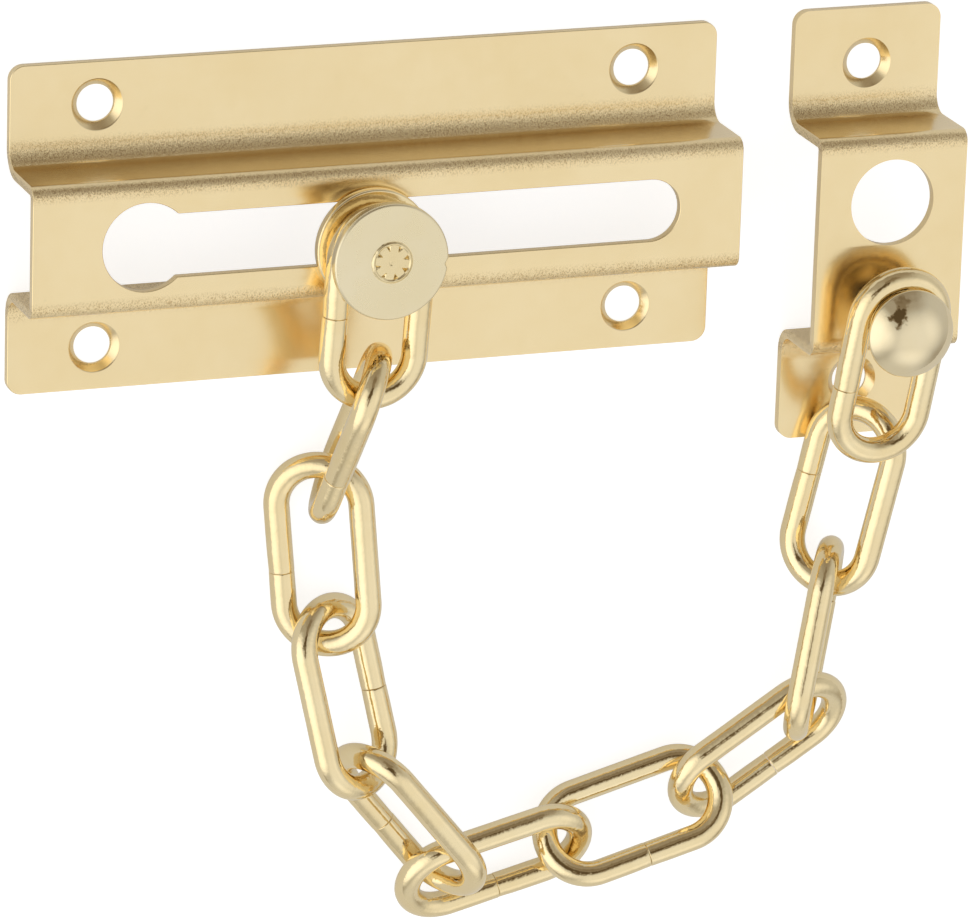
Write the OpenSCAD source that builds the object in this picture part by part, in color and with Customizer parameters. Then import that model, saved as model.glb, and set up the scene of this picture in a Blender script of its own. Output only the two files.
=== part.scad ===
// Door chain guard, laid out on its back: a slide track with a keyhole slot, a keeper plate,
// and an eleven-link chain between them.
// Millimetres. The origin is the middle of the track plate's back plane.
// X runs along the track, +Y is its upper side, +Z is its front. The backs of both plates are at Z = 0.

/* [View] */
// Which piece to draw, or all of them

/* [Track plate] */
// Length of the track plate
track_length = 88.9; // [84:0.1:100]
// Width over both flanges
track_width = 40.3; // [38:0.1:50]
// Width of the raised face
track_face = 16.2; // [15.6:0.1:17.6]
// Spacing of the screw holes along the track
track_screw_x = 67.5; // [64:0.1:76]
// Spacing of the screw holes across the track
track_screw_y = 29.8; // [28:0.1:30.6]

/* [Keyhole slot] */
// Radius of the keyhole's round end
key_radius = 5.4; // [5:0.1:5.8]
// Distance of the round end's centre left of the middle
key_offset = 30.5; // [26:0.1:34]
// Width of the straight slot
slot_width = 7.7; // [7:0.1:8.4]
// Distance of the slot's closed end right of the middle
slot_end = 36.5; // [34:0.1:39]

/* [Keeper plate] */
// Width of the keeper plate
keeper_width = 19.1; // [17:0.1:22]
// Height over both flanges
keeper_height = 54.4; // [53:0.1:64]
// Height of the raised face
keeper_face = 27.4; // [27:0.1:28.4]
// Spacing of the two screw holes
keeper_screw_y = 40.5; // [40:0.1:42]
// Radius of the large round hole
park_radius = 5.4; // [4:0.1:5.8]
// Height of the large hole's centre above the plate's middle
park_offset = 5.3; // [4:0.1:6.6]
// Distance of the rivet's axis below the plate's middle
rivet_offset = 9.1; // [8.8:0.1:9.4]

/* [Sheet] */
// Height of the raised faces above the mounting plane
face_height = 11.1; // [11:0.1:11.2]
// Sheet thickness
sheet = 1.2; // [1:0.05:1.3]
// Outside radius of the bend at the edge of a raised face
face_bend = 1.5; // [1.4:0.1:2.2]
// Inside radius of the bend where a web meets its flange
foot_bend = 2.2; // [1:0.1:2.6]
// Radius of the flanges' outer corners
corner = 1.8; // [0.5:0.1:3]
// Bore of the screw holes
screw_bore = 4.5; // [3.5:0.1:5]
// Rim diameter of the countersinks
screw_rim = 6.3; // [5.6:0.1:7]

/* [Slider] */
// Radius of the pin's shank
pin_radius = 2.2; // [1.8:0.1:2.2]
// Radius of the retaining head behind the face
head_radius = 4.8; // [4.4:0.1:5]
// Radius of both discs
disc_radius = 7.1; // [6:0.1:7.4]
// Thickness of the rear disc
rear_disc_thickness = 1.3; // [0.8:0.1:1.3]
// Thickness of the front disc
front_disc_thickness = 1.4; // [1:0.1:2]
// Radius of the pin's staked end
stake_radius = 2.6; // [2.4:0.1:3.2]

/* [Chain] */
// Wire diameter
wire = 3.2; // [2.4:0.1:3.2]
// Radius of the wire's centre line round a link's ends
link_bend = 5.2; // [5.1:0.05:5.25]
// Half the length of a link's straight legs
link_half = 6.2; // [6.15:0.05:6.25]
// Width of the butt joint in each link
seam = 0.16; // [0.1:0.02:0.4]

/* [Keeper rivet] */
// Radius of the domed head
dome_radius = 5.5; // [5:0.1:6]
// Height of the dome's sphere cap
dome_rise = 2.2; // [1.8:0.1:3.2]
// Radius of the shoulder that the last link hangs on
shoulder_radius = 2.2; // [1.6:0.1:2.4]

/* [Hidden] */
$fn = 96;
eps = 0.01;
cut = 1;
brass = [0.86, 0.78, 0.56];
wire_brass = [0.88, 0.76, 0.48];

// The slider's axis, with the pin resting on the slot's lower edge
pin_x = -2.8;
pin_y = -1.6;
// The keeper plate's middle
keeper_x = 64.2;
keeper_y = -6.5;

// Heights in the slider's stack
play = 0.15;
rear_disc_z = face_height + play;
link_bay = 4.95;
front_disc_z = rear_disc_z + rear_disc_thickness + link_bay;
front_z = front_disc_z + front_disc_thickness;
head_thickness = 1.5;
head_z = face_height - sheet - 0.3 - head_thickness;
stake_proud = 0.22;

// Heights on the keeper's rivet
dome_z = face_height + 7.2;
dome_rim = 0.4;
dome_sphere = (dome_radius * dome_radius + dome_rise * dome_rise) / (2 * dome_rise);
tenon_radius = 1.7;
tail_radius = 3.1;
tail_thickness = 1.3;

// How the chain lies: for each link its middle (x, y, z), then heading, slope and roll in degrees
LINKS = [
    [-2.8, -8.4, 14.1, -92, -4, 0],
    [-4.2, -25.5, 9.5, -98, -28, 111],
    [-5.5, -42.4, 4.3, -85, 2, 28],
    [-2.7, -60.4, 5.7, -79, 9, -30],
    [5.6, -76.9, 6.7, -51, 3, 63],
    [17.7, -84.3, 4.6, 15, 3, 29],
    [35.6, -79.8, 5.5, 17, 4, -29],
    [51.7, -71.9, 6.0, 36, 6, 27],
    [58.1, -58.0, 7.3, 77, -9, 61],
    [61.5, -40.0, 6.4, 79, 4, -48],
    [63.0, -20.6, 15.1, 84, 8, 3]
];

// Each link's butt joint: the leg that carries it (1 for +Y, -1 for -Y) and its place along the leg
SEAMS = [
    [-1, 1], [1, 3], [-1, 2], [1, 0.5], [-1, 0], [-1, 0],
    [-1, 0], [-1, 0], [-1, 4.5], [1, 1.5], [1, -3]
];

// Quarter of a bent sheet's section, centred on its bend axis, filling the +X +Y quarter
module bend_2d(outer)
{
    intersection()
    {
        difference()
        {
            circle(r = outer);
            circle(r = outer - sheet);
        }
        square([outer + cut, outer + cut]);
    }
}

// Right half of the hat section: first coordinate across the plate, second coordinate up
module half_hat_2d(total, face)
{
    web = face / 2;
    foot = foot_bend + sheet;
    // raised face
    translate([-eps, face_height - sheet])
        square([web - face_bend + 2 * eps, sheet]);
    translate([web - face_bend, face_height - face_bend])
        bend_2d(face_bend);
    // web
    translate([web - sheet, foot - eps])
        square([sheet, face_height - face_bend - foot + 2 * eps]);
    // bend at the foot
    translate([web - sheet + foot, foot])
        rotate(180)
            bend_2d(foot);
    // flange
    translate([web - sheet + foot - eps, 0])
        square([total / 2 - web + sheet - foot + eps, sheet]);
}

module hat_2d(total, face)
{
    half_hat_2d(total, face);
    mirror([1, 0])
        half_hat_2d(total, face);
}

// Plate outline with rounded corners
module rounded_2d(w, h, r)
{
    square([w, h - 2 * r], center = true);
    square([w - 2 * r, h], center = true);
    for (sx = [-1, 1], sy = [-1, 1])
        translate([sx * (w / 2 - r), sy * (h / 2 - r)])
            circle(r = r);
}

// Hat-section strip, w along X and h across Y
module hat_plate(w, h, face)
{
    intersection()
    {
        translate([-w / 2, 0, 0])
            rotate([90, 0, 90])
                linear_extrude(height = w)
                    hat_2d(h, face);
        translate([0, 0, -cut])
            linear_extrude(height = face_height + 2 * cut)
                rounded_2d(w, h, corner);
    }
}

// Countersunk screw hole through a flange
module screw_hole()
{
    sink = (screw_rim - screw_bore) / 2;
    translate([0, 0, -cut])
        cylinder(d = screw_bore, h = sheet + 2 * cut);
    translate([0, 0, sheet - sink])
        cylinder(d1 = screw_bore, d2 = screw_rim + 2 * cut, h = sink + cut);
}

// Keyhole slot through the track's face
module keyhole()
{
    translate([0, 0, face_height - sheet - cut])
        linear_extrude(height = sheet + 2 * cut)
        {
            translate([-key_offset, 0])
                circle(r = key_radius);
            translate([-key_offset, -slot_width / 2])
                square([key_offset + slot_end - slot_width / 2, slot_width]);
            translate([slot_end - slot_width / 2, 0])
                circle(d = slot_width);
        }
}

module track_plate()
{
    color(brass)
        difference()
        {
            hat_plate(track_length, track_width, track_face);
            keyhole();
            for (sx = [-1, 1], sy = [-1, 1])
                translate([sx * track_screw_x / 2, sy * track_screw_y / 2, 0])
                    screw_hole();
        }
}

// Pin with its retaining head behind the face and its staked end in front of the outer disc
module slider_pin()
{
    color(brass)
        translate([pin_x, pin_y, 0])
            difference()
            {
                union()
                {
                    translate([0, 0, head_z])
                        cylinder(r = head_radius, h = head_thickness);
                    translate([0, 0, head_z])
                        cylinder(r = pin_radius, h = front_z - head_z);
                    translate([0, 0, front_z])
                        cylinder(r1 = stake_radius, r2 = stake_radius - 0.2, h = stake_proud);
                }
                // ring of eight punched notches
                for (a = [0:45:315])
                    rotate(a + 12)
                        translate([1.65, 0, front_z + stake_proud])
                            rotate([0, 45, 0])
                                cube([0.42, 0.5, 0.42], center = true);
                // centre dimple
                translate([0, 0, front_z + stake_proud - 0.35])
                    cylinder(r1 = 0.1, r2 = 0.8, h = 0.35 + eps);
            }
}

// Flat disc with rounded rims and a hole for the pin
module disc(thickness)
{
    r = 0.3;
    rotate_extrude()
    {
        translate([pin_radius, 0])
            square([disc_radius - r - pin_radius, thickness]);
        translate([pin_radius, r])
            square([disc_radius - pin_radius, thickness - 2 * r]);
        translate([disc_radius - r, r])
            circle(r = r);
        translate([disc_radius - r, thickness - r])
            circle(r = r);
    }
}

module rear_disc()
{
    color(brass)
        translate([pin_x, pin_y, rear_disc_z])
            disc(rear_disc_thickness);
}

module front_disc()
{
    color(brass)
        translate([pin_x, pin_y, front_disc_z])
            disc(front_disc_thickness);
}

// Half turn of wire round one end of a link
module link_end()
{
    translate([link_half, 0, 0])
        rotate([0, 0, -90])
            rotate_extrude(angle = 180)
                translate([link_bend, 0])
                    circle(d = wire, $fn = 48);
}

// Straight leg of a link on the +Y side
module link_leg()
{
    translate([-link_half - eps, link_bend, 0])
        rotate([0, 90, 0])
            cylinder(d = wire, h = 2 * link_half + 2 * eps, $fn = 48);
}

// One link, lying in the XY plane with its length along X, its butt joint cut through one leg
module wire_link(leg, along)
{
    difference()
    {
        union()
        {
            link_end();
            mirror([1, 0, 0])
                link_end();
            link_leg();
            mirror([0, 1, 0])
                link_leg();
        }
        translate([along, leg * link_bend, 0])
            cube([seam, wire + cut, wire + cut], center = true);
    }
}

// Link number i of the chain, counted from the slider
module laid_link(i)
{
    p = LINKS[i - 1];
    joint = SEAMS[i - 1];
    color(wire_brass)
        translate([p[0], p[1], p[2]])
            rotate([0, 0, p[3]])
                rotate([0, -p[4], 0])
                    rotate([p[5], 0, 0])
                        wire_link(joint[0], joint[1]);
}

module chain_link_01() { laid_link(1); }
module chain_link_02() { laid_link(2); }
module chain_link_03() { laid_link(3); }
module chain_link_04() { laid_link(4); }
module chain_link_05() { laid_link(5); }
module chain_link_06() { laid_link(6); }
module chain_link_07() { laid_link(7); }
module chain_link_08() { laid_link(8); }
module chain_link_09() { laid_link(9); }
module chain_link_10() { laid_link(10); }
module chain_link_11() { laid_link(11); }

module keeper_plate()
{
    color(brass)
        translate([keeper_x, keeper_y, 0])
            difference()
            {
                hat_plate(keeper_width, keeper_height, keeper_face);
                for (sy = [-1, 1])
                    translate([0, sy * keeper_screw_y / 2, 0])
                        screw_hole();
                // large round hole
                translate([0, park_offset, face_height - sheet - cut])
                    cylinder(r = park_radius, h = sheet + 2 * cut);
                // hole for the rivet's tenon
                translate([0, -rivet_offset, face_height - sheet - cut])
                    cylinder(r = tenon_radius, h = sheet + 2 * cut);
            }
}

// Domed shoulder rivet with its upset tail behind the face
module keeper_rivet()
{
    color(brass)
        translate([keeper_x, keeper_y - rivet_offset, 0])
        {
            // upset tail
            translate([0, 0, face_height - sheet - tail_thickness])
                cylinder(r = tail_radius, h = tail_thickness);
            // tenon through the face
            translate([0, 0, face_height - sheet - eps])
                cylinder(r = tenon_radius, h = sheet + 2 * eps);
            // shoulder
            translate([0, 0, face_height])
                cylinder(r = shoulder_radius, h = dome_z - face_height + eps);
            // rim of the head
            translate([0, 0, dome_z])
                cylinder(r = dome_radius, h = dome_rim + eps);
            // dome
            translate([0, 0, dome_z + dome_rim])
                intersection()
                {
                    translate([0, 0, dome_rise - dome_sphere])
                        sphere(r = dome_sphere);
                    cylinder(r = dome_radius + cut, h = dome_rise + cut);
                }
        }
}

track_plate();
slider_pin();
rear_disc();
front_disc();
chain_link_01();
chain_link_02();
chain_link_03();
chain_link_04();
chain_link_05();
chain_link_06();
chain_link_07();
chain_link_08();
chain_link_09();
chain_link_10();
chain_link_11();
keeper_plate();
keeper_rivet();
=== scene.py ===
"""Looks of the door chain guard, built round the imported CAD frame. Metres, CAD frame."""
import math
import bpy
import bmesh
from mathutils import Matrix, Vector, noise


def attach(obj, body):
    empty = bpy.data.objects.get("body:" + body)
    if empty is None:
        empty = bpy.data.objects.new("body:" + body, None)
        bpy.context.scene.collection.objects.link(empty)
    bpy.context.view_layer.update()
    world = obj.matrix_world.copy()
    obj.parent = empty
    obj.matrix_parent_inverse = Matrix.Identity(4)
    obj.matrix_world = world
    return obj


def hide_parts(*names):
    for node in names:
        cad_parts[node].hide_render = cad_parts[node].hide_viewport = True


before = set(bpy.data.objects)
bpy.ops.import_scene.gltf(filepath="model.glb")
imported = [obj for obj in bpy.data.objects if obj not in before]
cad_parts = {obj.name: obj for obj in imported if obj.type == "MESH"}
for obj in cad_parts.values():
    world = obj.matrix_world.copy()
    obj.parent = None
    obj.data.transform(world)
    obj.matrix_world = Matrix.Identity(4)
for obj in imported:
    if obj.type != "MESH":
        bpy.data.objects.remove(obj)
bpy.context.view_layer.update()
MM = 0.001

# ---------------------------------------------------------------- sizes, as in the CAD source
TRACK = dict(length=88.9, width=40.3, face=16.2,
             screws=[(sx * 33.75, sy * 14.9) for sx in (-1, 1) for sy in (-1, 1)])
KEEPER = dict(length=19.1, width=54.4, face=27.4, screws=[(0, -20.25), (0, 20.25)])
KEEPER_AT = (64.2, -6.5)
H, SHEET, FACE_BEND, FOOT_BEND, CORNER = 11.1, 1.2, 1.5, 2.2, 1.8
BORE, RIM = 4.5, 6.3
KEY_X, KEY_R, SLOT_WIDTH, SLOT_END = -30.5, 5.4, 7.7, 36.5
PARK_Y, PARK_R = 5.3, 5.4
RIVET_HOLE_Y, TENON_R = -9.1, 1.7
PIN_AT = (-2.8, -1.6)
PIN_R, DISC_R = 2.2, 7.1
REAR_Z, REAR_T = 11.25, 1.3
FRONT_Z, FRONT_T = 17.5, 1.4
HEAD_R, HEAD_LOW, HEAD_HIGH, HEAD_EDGE = 4.8, 8.1, 9.6, 0.25
STAKE_R, STAKE_PROUD, PIN_SEGS = 2.62, 0.22, 128
RIVET_AT = (64.2, -15.6)
DOME_Z, DOME_R, DOME_RIM, DOME_RISE = 18.3, 5.5, 0.4, 2.2
SHOULDER_R = 2.2
TAIL_R, TAIL_LOW, TAIL_HIGH, TAIL_EDGE = 3.1, 8.6, 9.9, 0.4
WIRE, BEND, HALF = 3.2, 5.2, 6.2
# each link's middle, then its heading, tilt and roll in degrees
LINKS = [
    (-2.8, -8.4, 14.1, -92, -4, 0),
    (-4.2, -25.5, 9.5, -98, -28, 111),
    (-5.5, -42.4, 4.3, -85, 2, 28),
    (-2.7, -60.4, 5.7, -79, 9, -30),
    (5.6, -76.9, 6.7, -51, 3, 63),
    (17.7, -84.3, 4.6, 15, 3, 29),
    (35.6, -79.8, 5.5, 17, 4, -29),
    (51.7, -71.9, 6.0, 36, 6, 27),
    (58.1, -58.0, 7.3, 77, -9, 61),
    (61.5, -40.0, 6.4, 79, 4, -48),
    (63.0, -20.6, 15.1, 84, 8, 3),
]
# each link's butt seam: which leg it is on, and how far along
SEAMS = [(-1, 1), (1, 3), (-1, 2), (1, 0.5), (-1, 0), (-1, 0), (-1, 0), (-1, 0), (-1, 4.5), (1, 1.5), (1, -3)]


# ---------------------------------------------------------------- mesh helpers
def smooth(o, angle=35):
    for p in o.data.polygons:
        p.use_smooth = True
    o.data.set_sharp_from_angle(angle=math.radians(angle))


def add(name, verts, faces, body, nodes, material, angle=35):
    me = bpy.data.meshes.new(name)
    me.from_pydata([(x * MM, y * MM, z * MM) for x, y, z in verts], [], faces)
    me.validate()
    me.update()
    bm = bmesh.new()
    bm.from_mesh(me)
    bmesh.ops.recalc_face_normals(bm, faces=bm.faces)
    bm.to_mesh(me)
    bm.free()
    o = bpy.data.objects.new(name, me)
    bpy.context.scene.collection.objects.link(o)
    return dress(o, body, nodes, material, angle)


def dress(o, body, nodes, material, angle=35):
    o.data.materials.clear()
    o.data.materials.append(material)
    smooth(o, angle)
    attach(o, body)
    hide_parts(*nodes)
    return o


def wobble(x, y, z, size, seed=0.0):
    """Smooth random value in about -1 to 1 that changes over size millimetres."""
    return noise.noise(Vector((x / size + seed, y / size + 3.1 * seed, z / size - seed)))


def turned(profile, segs, at, dent=None):
    """Solid of revolution about the upright axis through at, from a profile [(radius, z), ...]."""
    verts, faces = [], []
    rows = []
    for r, z in profile:
        if r < 1e-6:
            rows.append([len(verts)])
            verts.append((at[0], at[1], z))
            continue
        row = []
        for k in range(segs):
            a = 2 * math.pi * k / segs
            rr, zz = (r, z) if dent is None else dent(r, z, a)
            row.append(len(verts))
            verts.append((at[0] + rr * math.cos(a), at[1] + rr * math.sin(a), zz))
        rows.append(row)
    for a, b in zip(rows, rows[1:]):
        for k in range(segs):
            n = (k + 1) % segs
            if len(a) == 1:
                faces.append((a[0], b[n], b[k]))
            elif len(b) == 1:
                faces.append((a[k], a[n], b[0]))
            else:
                faces.append((a[k], a[n], b[n], b[k]))
    return verts, faces


def arc(cx, cz, r, a0, a1, n):
    return [(cx + r * math.cos(math.radians(a0 + (a1 - a0) * k / n)),
             cz + r * math.sin(math.radians(a0 + (a1 - a0) * k / n))) for k in range(n + 1)]


# ---------------------------------------------------------------- materials
def nodes_of(name):
    m = bpy.data.materials.new(name)
    m.use_nodes = True
    nt = m.node_tree
    nt.nodes.clear()
    out = nt.nodes.new("ShaderNodeOutputMaterial")
    b = nt.nodes.new("ShaderNodeBsdfPrincipled")
    nt.links.new(b.outputs[0], out.inputs[0])
    return m, nt, b


def node(nt, kind, ins=None, **props):
    n = nt.nodes.new(kind)
    for k, v in props.items():
        setattr(n, k, v)
    for k, v in (ins or {}).items():
        s = n.inputs[k]
        if isinstance(v, bpy.types.NodeSocket):
            nt.links.new(v, s)
        else:
            s.default_value = v
    return n


def math_(nt, op, a, b=0.0, clamp=False):
    n = node(nt, "ShaderNodeMath", {0: a, 1: b}, operation=op)
    n.use_clamp = clamp
    return n.outputs[0]


def ramp(nt, fac, stops):
    n = node(nt, "ShaderNodeValToRGB", {0: fac})
    e = n.color_ramp.elements
    while len(e) < len(stops):
        e.new(0.5)
    for el, (p, c) in zip(e, stops):
        el.position = p
        el.color = (*c, 1)
    return n.outputs[0]


def noise_tex(nt, vec, mm, detail=2.0, rough=0.5, distortion=0.0):
    return node(nt, "ShaderNodeTexNoise", {"Vector": vec, "Scale": 1.0 / (mm * MM), "Detail": detail,
                                           "Roughness": rough, "Distortion": distortion}).outputs[0]


def stretched(nt, vec, sx, sy, sz, turn=0.0):
    ins = {"Vector": vec, "Rotation": (0, 0, turn), "Scale": (sx, sy, sz)}
    return node(nt, "ShaderNodeMapping", ins).outputs[0]


def brass(name, pale, deep, rough, peel, peel_mm, bend=None, streak=0.0, wave=0.0, specks=0.3):
    """Brass plating: pale and deep are its two tones. peel is the depth of the fine orange peel in mm,
    streak that of the wire's drawing lines, wave that of broad unevenness. bend is (middle, half width) of a
    hat section in mm, whose bends get the sandy grain of stretched metal."""
    m, nt, b = nodes_of(name)
    coord = node(nt, "ShaderNodeTexCoord").outputs["Object"]
    broad = noise_tex(nt, coord, 14, 3)
    mid = noise_tex(nt, coord, 2.2, 3)
    fine = noise_tex(nt, coord, peel_mm, 2, 0.55)
    tiny = noise_tex(nt, coord, 0.12, 1)
    # colour: plating drifts between two tones, and darkens in small spots
    drift = math_(nt, "ADD", math_(nt, "MULTIPLY", broad, 0.7), math_(nt, "MULTIPLY", mid, 0.3))
    col = ramp(nt, drift, [(0.36, deep), (0.62, pale)])
    spot = noise_tex(nt, coord, 0.9, 4, 0.75, 0.4)
    spot_mask = ramp(nt, spot, [(0.66, (0, 0, 0)), (0.78, (1, 1, 1))])
    spot_fac = math_(nt, "MULTIPLY", spot_mask, specks)
    dark = tuple(c * 0.55 for c in deep)
    mix = node(nt, "ShaderNodeMix", {0: spot_fac, 6: col, 7: (*dark, 1)}, data_type="RGBA")
    col = mix.outputs[2]
    if bend:
        across = node(nt, "ShaderNodeSeparateXYZ", {0: coord}).outputs[1]
        past = math_(nt, "ABSOLUTE", math_(nt, "SUBTRACT", across, bend[0] * MM))
        past = math_(nt, "DIVIDE", math_(nt, "SUBTRACT", past, bend[1] * MM), 10 * MM)
        turn = ramp(nt, math_(nt, "ADD", past, 0.5),
                    [(at, (much, much, much)) for at, much in
                     ((0.28, 0), (0.38, 0.9), (0.46, 0.7), (0.49, 0.1), (0.52, 0.1), (0.58, 0.9), (0.68, 0.7),
                      (0.84, 0))])
        grain = noise_tex(nt, stretched(nt, coord, 1.4, 1.0, 1.0), 0.26, 3, 0.7, 0.2)
        sand = ramp(nt, grain, [(0.36, (0.42, 0.32, 0.20)), (0.50, (0.93, 0.91, 0.88)), (0.64, (1, 1, 1))])
        tone = node(nt, "ShaderNodeMix", {0: math_(nt, "MULTIPLY", turn, 0.8), 6: col, 7: sand},
                    data_type="RGBA", blend_type="MULTIPLY")
        col = tone.outputs[2]
    nt.links.new(col, b.inputs["Base Color"])
    b.inputs["Metallic"].default_value = 1.0
    # roughness: dull patches, fine grain and long hairline scratches
    hair_v = stretched(nt, coord, 1, 12, 1, math.radians(7))
    hair = noise_tex(nt, hair_v, 1.4, 2, 0.6)
    hair_mask = ramp(nt, hair, [(0.62, (0, 0, 0)), (0.68, (1, 1, 1))])
    r = math_(nt, "ADD", rough * 0.72, math_(nt, "MULTIPLY", mid, rough * 0.4))
    r = math_(nt, "ADD", r, math_(nt, "MULTIPLY", tiny, rough * 0.22))
    r = math_(nt, "ADD", r, math_(nt, "MULTIPLY", hair_mask, rough * 0.10))
    r = math_(nt, "ADD", r, math_(nt, "MULTIPLY", spot_fac, 0.2), clamp=True)
    nt.links.new(r, b.inputs["Roughness"])
    # relief
    height = math_(nt, "MULTIPLY", fine, peel)
    if wave:
        height = math_(nt, "ADD", height, math_(nt, "MULTIPLY", noise_tex(nt, coord, 5.5, 1), wave))
    if bend:
        height = math_(nt, "ADD", height, math_(nt, "MULTIPLY", math_(nt, "MULTIPLY", grain, turn), 0.10))
    if streak:
        lines = noise_tex(nt, stretched(nt, coord, 0.06, 1, 1), 0.3, 2)
        height = math_(nt, "ADD", height, math_(nt, "MULTIPLY", lines, streak))
    bump = node(nt, "ShaderNodeBump", {"Height": height, "Distance": MM, "Strength": 1.0})
    nt.links.new(bump.outputs[0], b.inputs["Normal"])
    return m


SHEET_TONES = ((0.97, 0.79, 0.465), (0.94, 0.75, 0.42), 0.20)
TRACK_BRASS = brass("satin_brass_track", *SHEET_TONES, peel=0.003, peel_mm=0.4, wave=0.008, specks=0.2,
                    bend=(0, TRACK["face"] / 2))
KEEPER_BRASS = brass("satin_brass_keeper", *SHEET_TONES, peel=0.003, peel_mm=0.4, wave=0.008, specks=0.2,
                     bend=(KEEPER_AT[1], KEEPER["face"] / 2))
FACE = brass("satin_brass_disc", (0.90, 0.79, 0.54), (0.87, 0.75, 0.48), 0.28,
             peel=0.004, peel_mm=0.4, wave=0.006, specks=0.2)
DISC = brass("bright_brass_disc", (0.96, 0.80, 0.49), (0.93, 0.75, 0.42), 0.12,
             peel=0.02, peel_mm=0.9, wave=0.03, specks=0.3)
STAKED = brass("staked_brass", (0.93, 0.80, 0.50), (0.88, 0.72, 0.41), 0.2,
               peel=0.008, peel_mm=0.2, specks=0.3)
BRIGHT = brass("bright_brass_wire", (0.96, 0.80, 0.485), (0.93, 0.75, 0.42), 0.10,
               peel=0.034, peel_mm=0.9, wave=0.05, streak=0.0024, specks=0.25)
MIRROR = brass("bright_brass_dome", (0.90, 0.77, 0.51), (0.87, 0.73, 0.45), 0.05,
               peel=0.010, peel_mm=1.2, wave=0.03, specks=0.1)


# ---------------------------------------------------------------- chain links
def link_mesh(i):
    """Wire bent into an oval, closed by a butt joint whose ends are slightly rounded and out of line."""
    side, along = SEAMS[i]
    straight = 2 * HALF
    turn = math.pi * BEND
    total = 2 * (straight + turn)

    def bend_point(x, a):
        c, n = math.cos(a), math.sin(a)
        return (x + BEND * c, BEND * n), (c, n), (n, -c)

    def at(s):
        """Point, outward direction in the link's plane and tangent, s along from the middle of the +Y leg."""
        s = s % total
        if s < HALF:
            return (s, BEND), (0, 1), (1, 0)
        s -= HALF
        if s < turn:
            a = math.pi / 2 - s / BEND
            return bend_point(HALF, a)
        s -= turn
        if s < straight:
            return (HALF - s, -BEND), (0, -1), (-1, 0)
        s -= straight
        if s < turn:
            a = -math.pi / 2 - s / BEND
            return bend_point(-HALF, a)
        s -= turn
        return (-HALF + s, BEND), (0, 1), (1, 0)

    start = along if side > 0 else HALF + turn + (HALF - along)
    gap = 0.03
    edge = 0.14
    ring = 40
    steps = [gap / 2 + edge * (1 - math.cos(math.radians(t))) for t in (0, 22, 45, 68, 90)]
    n = 190
    body = [gap / 2 + edge + (total - gap - 2 * edge) * k / n for k in range(1, n)]
    stations = steps + body + [total - s for s in reversed(steps)]
    R = WIRE / 2
    verts, faces = [], []
    seed = 7.3 * (i + 1)
    for s in stations:
        (cx, cy), (nx, ny), _ = at(start + s)
        e = min(s, total - s) - gap / 2
        shrink = 0.0 if e >= edge else edge * (1 - math.sqrt(max(0.0, 1 - ((edge - e) / edge) ** 2))) * 0.6
        # the cut ends are a little thinner, and sheared a little out of line with one another
        near = math.exp(-(min(s, total - s) / 1.6) ** 2)
        sgn = 1 if s < total / 2 else -1
        off_in = -0.04 * near * (1 if sgn > 0 else 0.3)
        off_z = 0.03 * near * sgn
        for k in range(ring):
            a = 2 * math.pi * k / ring
            r = R - shrink - 0.012 - 0.03 * near
            px, pz = math.cos(a), math.sin(a)
            r += 0.010 * wobble(s, 2.2 * px, 2.2 * pz, 2.6, seed)
            out = px * r + off_in
            verts.append((cx + nx * out, cy + ny * out, pz * r + off_z))
    m = len(stations)
    for j in range(m - 1):
        for k in range(ring):
            q = (k + 1) % ring
            faces.append((j * ring + k, j * ring + q, (j + 1) * ring + q, (j + 1) * ring + k))
    # caps on the two cut ends
    for row, s in ((0, stations[0]), (m - 1, stations[-1])):
        (cx, cy), _, (tx, ty) = at(start + s)
        c = len(verts)
        verts.append((cx, cy, 0.0))
        for k in range(ring):
            faces.append((c, row * ring + k, row * ring + (k + 1) % ring))
    x, y, z, head, tilt, roll = LINKS[i]
    place = (Matrix.Translation((x, y, z)) @ Matrix.Rotation(math.radians(head), 4, "Z")
             @ Matrix.Rotation(math.radians(-tilt), 4, "Y") @ Matrix.Rotation(math.radians(roll), 4, "X"))
    verts = [tuple(place @ Vector(v)) for v in verts]
    return verts, faces


for i in range(len(LINKS)):
    v, f = link_mesh(i)
    link = "link_%02d" % (i + 1)
    add("wire_" + link, v, f, link, ["chain_" + link], BRIGHT, 50)


# ---------------------------------------------------------------- stamped plates
def section(total, face):
    """Front line of half the hat section, from its middle to a flange edge, as (across, up, normal across,
    normal up) with every arc in fine steps."""
    web = face / 2
    r_in = FOOT_BEND
    half = [(0.0, H, 0.0, 1.0)]
    for t in range(0, 91, 6):
        a = math.radians(90 - t)
        half.append((web - FACE_BEND + FACE_BEND * math.cos(a), H - FACE_BEND + FACE_BEND * math.sin(a),
                     math.cos(a), math.sin(a)))
    foot_c = (web + r_in, SHEET + r_in)
    for t in range(0, 91, 6):
        a = math.radians(180 + t)
        c, n = math.cos(a), math.sin(a)
        half.append((foot_c[0] + r_in * c, foot_c[1] + r_in * n, -c, -n))
    half.append((total / 2, SHEET, 0.0, 1.0))
    return half


def flat_length(half):
    """Distance of each point of the line from its start, measured along it."""
    d = [0.0]
    for a, b in zip(half, half[1:]):
        d.append(d[-1] + math.hypot(b[0] - a[0], b[1] - a[1]))
    return d


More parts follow.
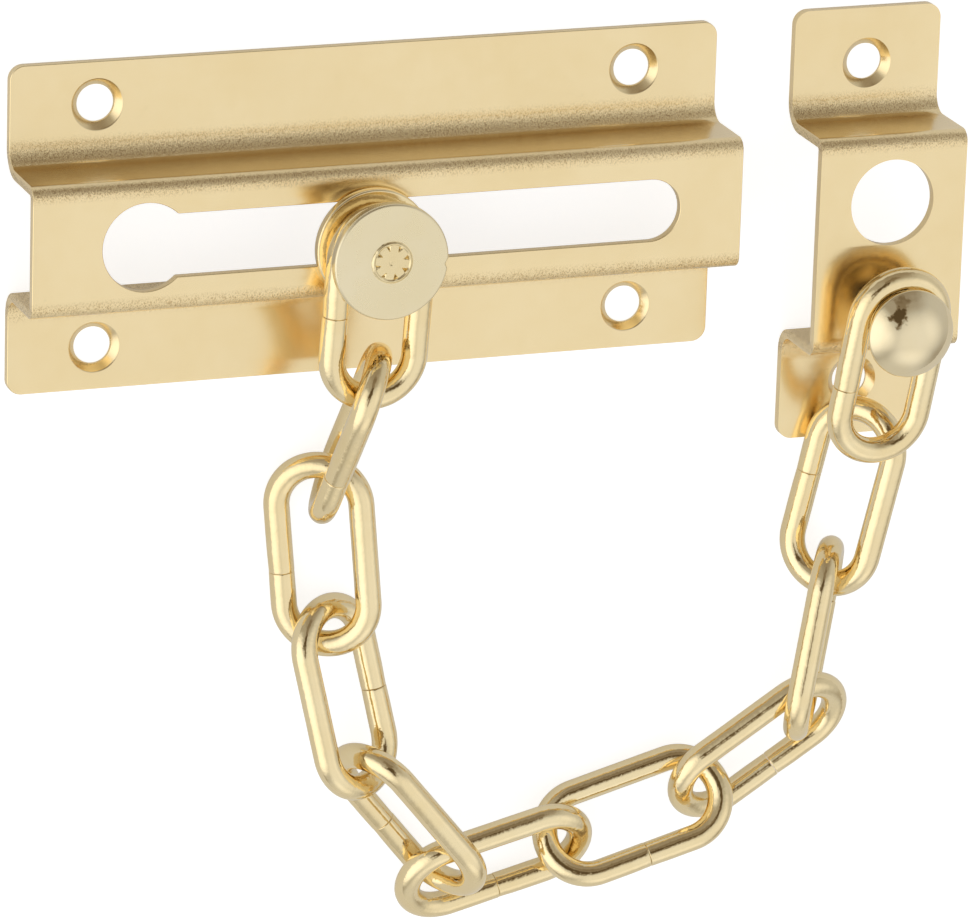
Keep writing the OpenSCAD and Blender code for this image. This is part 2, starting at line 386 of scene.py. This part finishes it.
def cutter(kind, **k):
    """Solid to cut with: a cylinder or cone of radii r1 and r2, or a box, with its middle at x, y, z."""
    bm = bmesh.new()
    place = Matrix.Translation((k["x"], k["y"], k["z"]))
    if kind == "cyl":
        bmesh.ops.create_cone(bm, cap_ends=True, segments=k.get("segs", 72), radius1=k["r1"],
                              radius2=k.get("r2", k["r1"]), depth=k["h"], matrix=place)
    else:
        bmesh.ops.create_cube(bm, size=1, matrix=place @ Matrix.Diagonal((k["w"], k["d"], k["h"], 1)))
    me = bpy.data.meshes.new("cutter")
    bm.to_mesh(me)
    bm.free()
    o = bpy.data.objects.new("cutter", me)
    bpy.context.scene.collection.objects.link(o)
    return o


def plate(name, spec, centre, cuts, body, node_name, material):
    """The plate is made flat, pierced and rounded at its edges, then bent into the hat section."""
    half = section(spec["width"], spec["face"])
    d = flat_length(half)
    knots = sorted(set([-x for x in d] + d))
    length = spec["length"]
    # flat blank: X along, Y across (flat distance), Z = depth below the front surface
    bm = bmesh.new()
    top_rows, low_rows = [[[bm.verts.new((x, y, z)) for x in (-length / 2, length / 2)] for y in knots]
                          for z in (0.0, -SHEET)]
    strips = list(zip(top_rows, top_rows[1:], low_rows, low_rows[1:]))
    for t, t2, u, u2 in strips:
        bm.faces.new((t[0], t[1], t2[1], t2[0]))
        bm.faces.new((u[0], u2[0], u2[1], u[1]))
    for t, t2, u, u2 in strips:
        bm.faces.new((t[0], t2[0], u2[0], u[0]))
        bm.faces.new((t[1], u[1], u2[1], t2[1]))
    for t, u in ((top_rows[0], low_rows[0]), (top_rows[-1], low_rows[-1])):
        bm.faces.new((t[0], u[0], u[1], t[1]))
    bmesh.ops.recalc_face_normals(bm, faces=bm.faces)
    me = bpy.data.meshes.new(name)
    bm.to_mesh(me)
    bm.free()
    o = bpy.data.objects.new(name, me)
    bpy.context.scene.collection.objects.link(o)
    # rounded outer corners, screw holes, slot
    top = d[-1]
    tools = []
    for sx in (-1, 1):
        for sy in (-1, 1):
            block = cutter("box", x=sx * (length / 2), y=sy * top, z=-SHEET / 2,
                           w=2 * CORNER, d=2 * CORNER, h=4)
            keep = cutter("cyl", x=sx * (length / 2 - CORNER), y=sy * (top - CORNER), z=-SHEET / 2,
                          r1=CORNER, h=6, segs=64)
            apply_bool(block, keep)
            tools.append(block)
    for sx, sy in spec["screws"]:
        across = math.copysign(top - (spec["width"] / 2 - abs(sy)), sy)
        tools.append(cutter("cyl", x=sx, y=across, z=-SHEET / 2, r1=BORE / 2, h=4))
        sink = (RIM - BORE) / 2
        tools.append(cutter("cyl", x=sx, y=across, z=-sink / 2 + 0.05,
                            r1=BORE / 2, r2=RIM / 2 + 0.1, h=sink + 0.1))
    tools += cuts()
    for t in tools:
        apply_bool(o, t)
    # soften every edge of the blank
    bm = bmesh.new()
    bm.from_mesh(o.data)
    bmesh.ops.remove_doubles(bm, verts=bm.verts, dist=0.002)
    sharp = [e for e in bm.edges if len(e.link_faces) == 2 and e.calc_face_angle(0) > math.radians(40)]
    bmesh.ops.bevel(bm, geom=sharp, offset=0.16, segments=3, profile=0.5, affect="EDGES", clamp_overlap=True)
    bmesh.ops.triangulate(bm, faces=[f for f in bm.faces if len(f.verts) > 4])
    # bend it
    for v in bm.verts:
        s = abs(v.co.y)
        k = 0
        while k < len(d) - 2 and d[k + 1] < s:
            k += 1
        w = (s - d[k]) / (d[k + 1] - d[k])
        a, b = half[k], half[k + 1]
        cx, cz = a[0] + (b[0] - a[0]) * w, a[1] + (b[1] - a[1]) * w
        n = Vector((a[2] + (b[2] - a[2]) * w, a[3] + (b[3] - a[3]) * w)).normalized()
        sgn = 1 if v.co.y >= 0 else -1
        depth = v.co.z
        across, up = sgn * (cx + n[0] * depth), cz + n[1] * depth
        # a stamped face is never quite flat
        x = v.co.x
        up += 0.012 * wobble(x, across, 0, 11, 2.0) * (1 if up < H - 0.3 else 0.4)
        v.co = Vector(((centre[0] + x) * MM, (centre[1] + across) * MM, min(max(up, 0.0), H) * MM))
    bmesh.ops.recalc_face_normals(bm, faces=bm.faces)
    bm.to_mesh(o.data)
    bm.free()
    return dress(o, body, [node_name], material, 28)


def apply_bool(o, tool):
    m = o.modifiers.new("cut", "BOOLEAN")
    m.operation = "DIFFERENCE"
    m.solver = "EXACT"
    m.object = tool
    dg = bpy.context.evaluated_depsgraph_get()
    dg.update()
    me = bpy.data.meshes.new_from_object(o.evaluated_get(dg))
    o.modifiers.clear()
    old = o.data
    o.data = me
    bpy.data.meshes.remove(old)
    bpy.data.objects.remove(tool)


def track_cuts():
    r = SLOT_WIDTH / 2
    return [cutter("cyl", x=KEY_X, y=0, z=-SHEET / 2, r1=KEY_R, h=4, segs=96),
            cutter("box", x=(KEY_X + SLOT_END - r) / 2, y=0, z=-SHEET / 2,
                   w=SLOT_END - KEY_X - r, d=2 * r, h=4),
            cutter("cyl", x=SLOT_END - r, y=0, z=-SHEET / 2, r1=r, h=4, segs=96)]


def keeper_cuts():
    return [cutter("cyl", x=0, y=PARK_Y, z=-SHEET / 2, r1=PARK_R, h=4, segs=96),
            cutter("cyl", x=0, y=RIVET_HOLE_Y, z=-SHEET / 2, r1=TENON_R, h=4, segs=48)]


plate("stamped_track", TRACK, (0, 0), track_cuts, "track", "track_plate", TRACK_BRASS)
plate("stamped_keeper", KEEPER, KEEPER_AT, keeper_cuts, "keeper", "keeper_plate", KEEPER_BRASS)


# ---------------------------------------------------------------- slider
def nick(r, z, a):
    """Small rough nick in the front disc's rim."""
    d = (math.degrees(a) + 180) % 360 - 180 + 5
    if r > DISC_R - 0.9 and abs(d) < 6:
        r -= (0.30 + 0.12 * wobble(d, z, 0, 1.2, 5)) * math.cos(math.radians(d * 15)) ** 2
    return r, z


TOP = FRONT_Z + FRONT_T
REAR_EDGE, FRONT_EDGE = 0.28, 0.34
rear = ([(PIN_R, REAR_Z)] + arc(DISC_R - REAR_EDGE, REAR_Z + REAR_EDGE, REAR_EDGE, -90, 0, 6)
        + arc(DISC_R - REAR_EDGE, REAR_Z + REAR_T - REAR_EDGE, REAR_EDGE, 0, 90, 6)
        + [(PIN_R, REAR_Z + REAR_T), (PIN_R, REAR_Z)])
v, f = turned(rear, 144, PIN_AT)
add("rear_slider_disc", v, f, "slider", ["rear_disc"], DISC)
front = ([(PIN_R, FRONT_Z)] + arc(DISC_R - REAR_EDGE, FRONT_Z + REAR_EDGE, REAR_EDGE, -90, 0, 6)
         + arc(DISC_R - FRONT_EDGE, TOP - FRONT_EDGE, FRONT_EDGE, 0, 90, 8)
         + [(6.2, TOP), (4.5, TOP), (3.2, TOP), (PIN_R, TOP), (PIN_R, FRONT_Z)])
v, f = turned(front, 180, PIN_AT, nick)
add("front_slider_disc", v, f, "slider", ["front_disc"], FACE)


def stake_height(r, a):
    """Height of the staked end above the disc's face, in mm."""
    lip = 0.18 * math.exp(-((r - 2.30) / 0.17) ** 2)
    h = lip + 0.06 * max(0.0, min(1.0, (2.15 - r) / 0.3))
    # eight punched notches, each a small triangle that opens outwards
    for k in range(8):
        t = math.radians(45 * k + 14)
        dx = r * math.cos(a - t) - 1.76
        dy = abs(r * math.sin(a - t))
        width = 0.04 + 0.48 * (dx + 0.30)
        if -0.30 < dx < 0.30 and dy < width:
            h -= 0.28 * (1 - dy / width) * (0.4 + 0.6 * (dx + 0.30) / 0.60)
        h += 0.06 * math.exp(-((dx - 0.35) / 0.08) ** 2) * math.exp(-(dy / 0.28) ** 4)
    d = math.hypot(r * math.cos(a) + 0.2, r * math.sin(a) + 0.15)
    h -= 0.10 * math.exp(-(d / 0.22) ** 2)
    return h + 0.03 * wobble(r * math.cos(a), r * math.sin(a), 0, 0.45, 4)


shank = ([(0, HEAD_LOW)] + arc(HEAD_R - HEAD_EDGE, HEAD_LOW + HEAD_EDGE, HEAD_EDGE, -90, 0, 4)
         + arc(HEAD_R - HEAD_EDGE, HEAD_HIGH - HEAD_EDGE, HEAD_EDGE, 0, 90, 4)
         + [(PIN_R, HEAD_HIGH), (PIN_R, TOP - 0.05)])
v, f = turned(shank, PIN_SEGS, PIN_AT)
# staked end: rings from the lip down to the middle
RINGS = 64
previous = len(v) - PIN_SEGS
for j in range(RINGS):
    r = STAKE_R - STAKE_R * j / RINGS
    current = len(v)
    for k in range(PIN_SEGS):
        a = 2 * math.pi * k / PIN_SEGS
        z = TOP + (0.004 if j == 0 else max(-0.4, stake_height(r, a)))
        v.append((PIN_AT[0] + r * math.cos(a), PIN_AT[1] + r * math.sin(a), min(z, TOP + STAKE_PROUD)))
    for k in range(PIN_SEGS):
        q = (k + 1) % PIN_SEGS
        f.append((previous + k, previous + q, current + q, current + k))
    previous = current
v.append((PIN_AT[0], PIN_AT[1], TOP + stake_height(0.0, 0.0)))
for k in range(PIN_SEGS):
    f.append((previous + k, previous + (k + 1) % PIN_SEGS, len(v) - 1))
add("staked_pin", v, f, "slider", ["slider_pin"], STAKED)

# ---------------------------------------------------------------- keeper rivet
SPHERE = (DOME_R ** 2 + DOME_RISE ** 2) / (2 * DOME_RISE)
cap_z = DOME_Z + DOME_RIM
full = math.degrees(math.asin(DOME_R / SPHERE))
dome = []
for k in range(2, 40):
    a = math.radians(full * (1 - k / 40))
    dome.append((SPHERE * math.sin(a), cap_z + DOME_RISE - SPHERE + SPHERE * math.cos(a)))
tail = ([(0, TAIL_LOW)] + arc(TAIL_R - TAIL_EDGE, TAIL_LOW + TAIL_EDGE, TAIL_EDGE, -90, 0, 5)
        + [(TAIL_R, TAIL_HIGH), (TENON_R, TAIL_HIGH), (TENON_R, H)])
neck = [(SHOULDER_R, H), (SHOULDER_R, DOME_Z - 0.02)]
rim = (arc(DOME_R - 0.22, DOME_Z + 0.22, 0.22, -90, 0, 6)
       + [(DOME_R, cap_z - 0.08), (DOME_R - 0.05, cap_z + 0.06)])
v, f = turned(tail + neck + rim + dome + [(0, cap_z + DOME_RISE)], 160, RIVET_AT)
add("domed_rivet", v, f, "keeper", ["keeper_rivet"], MIRROR, 40)

# ---------------------------------------------------------------- floor, lights and camera
bpy.ops.mesh.primitive_plane_add(size=6, location=(0, 0, -0.00002))
floor = bpy.context.active_object
floor.name = "floor"
m, nt, b_floor = nodes_of("pale_floor")
b_floor.inputs["Base Color"].default_value = (0.5, 0.5, 0.5, 1)
b_floor.inputs["Emission Color"].default_value = (1, 1, 1, 1)
b_floor.inputs["Roughness"].default_value = 0.9
b_floor.inputs["Specular IOR Level"].default_value = 0.1
# the floor is lit like a light table: plain white, but not so bright that it glares in the metal
seen = node(nt, "ShaderNodeLightPath").outputs["Is Camera Ray"]
glow = node(nt, "ShaderNodeMath", {0: seen, 1: 0.50, 2: 0.28}, operation="MULTIPLY_ADD").outputs[0]
nt.links.new(glow, b_floor.inputs["Emission Strength"])
floor.data.materials.append(m)

world = bpy.data.worlds.new("studio")
bpy.context.scene.world = world
world.use_nodes = True


def lobe(nt, sky, toward, value, inner, outer):
    """Soft patch of sky in the direction toward, fading out between two angles."""
    d = Vector(toward).normalized()
    dot = node(nt, "ShaderNodeVectorMath", {0: sky, 1: d}, operation="DOT_PRODUCT").outputs["Value"]
    far, near = math.cos(math.radians(outer)), math.cos(math.radians(inner))
    n = node(nt, "ShaderNodeMapRange", {0: dot, 1: far, 2: near, 3: 0.0, 4: value},
             interpolation_type="SMOOTHSTEP")
    return n.outputs[0]


# a light tent: even grey, with soft bright areas and uneven dark ones, which are warm
nt = world.node_tree
sky = node(nt, "ShaderNodeTexCoord").outputs["Generated"]
blur = node(nt, "ShaderNodeTexNoise",
            {"Vector": sky, "Scale": 4.5, "Detail": 3.0, "Roughness": 0.6}).outputs["Color"]
push = node(nt, "ShaderNodeVectorMath", {0: blur, 1: (-0.5, -0.5, -0.5)}, operation="ADD").outputs[0]
push = node(nt, "ShaderNodeVectorMath", {0: push, "Scale": 0.75}, operation="SCALE").outputs[0]
rough_sky = node(nt, "ShaderNodeVectorMath", {0: sky, 1: push}, operation="ADD").outputs[0]
rough_sky = node(nt, "ShaderNodeVectorMath", {0: rough_sky}, operation="NORMALIZE").outputs[0]
tent = 0.40
for toward, value, inner, outer in (
        ((0.33, -0.31, 0.89), 0.48, 12, 58),
        ((-0.90, -0.10, 0.45), 0.95, 8, 52),
        ((1.00, 0.20, 0.25), 0.20, 10, 50),
        ((0.10, -1.00, 0.25), 0.28, 10, 45)):
    tent = math_(nt, "ADD", lobe(nt, sky, toward, value, inner, outer), tent)
for toward, value, inner, outer in (
        ((-0.18, 0.38, 0.90), -0.62, 6, 19),
        ((-0.03, 0.74, 0.67), -0.16, 5, 16),
        ((0.10, 0.97, 0.10), -0.10, 10, 42)):
    tent = math_(nt, "ADD", lobe(nt, rough_sky, toward, value, inner, outer), tent)
tent = math_(nt, "MAXIMUM", tent, 0.10)
tint = ramp(nt, tent, [(0.10, (1.0, 0.72, 0.42)), (0.36, (1.0, 0.93, 0.84)), (0.56, (0.98, 0.985, 1.0))])
nt.links.new(tint, nt.nodes["Background"].inputs[0])
nt.links.new(tent, nt.nodes["Background"].inputs[1])

# one soft key light over the middle of the part, which the metal does not mirror
MID = Vector((0.01, -0.03, 0.01))
key_data = bpy.data.lights.new("key", "AREA")
key_data.shape = "RECTANGLE"
key_data.size = key_data.size_y = 0.4
key_data.energy = 0.6
key = bpy.data.objects.new("key", key_data)
bpy.context.scene.collection.objects.link(key)
key.location = MID + Vector((-0.5, 0.1, 0.9)).normalized() * 1.4
key.rotation_euler = (MID - key.location).to_track_quat("-Z", "Y").to_euler()
key.visible_glossy = False

cam_data = bpy.data.cameras.new("camera")
cam = bpy.data.objects.new("camera", cam_data)
bpy.context.scene.collection.objects.link(cam)
bpy.context.scene.camera = cam
cam_data.sensor_fit = "HORIZONTAL"
cam_data.sensor_width = 36
cam_data.lens = 272.7
cam_data.clip_start = 0.01
up, back = Vector((0.0796, 0.9499, -0.3022)), Vector((-0.3332, 0.3111, 0.8901)).normalized()
right = up.cross(back).normalized()
up = back.cross(right)
turn = Matrix((right, up, back)).transposed().to_4x4()
cam.matrix_world = Matrix.Translation((-0.2824, 0.2457, 0.7994)) @ turn

bpy.context.scene.view_settings.view_transform = "Standard"
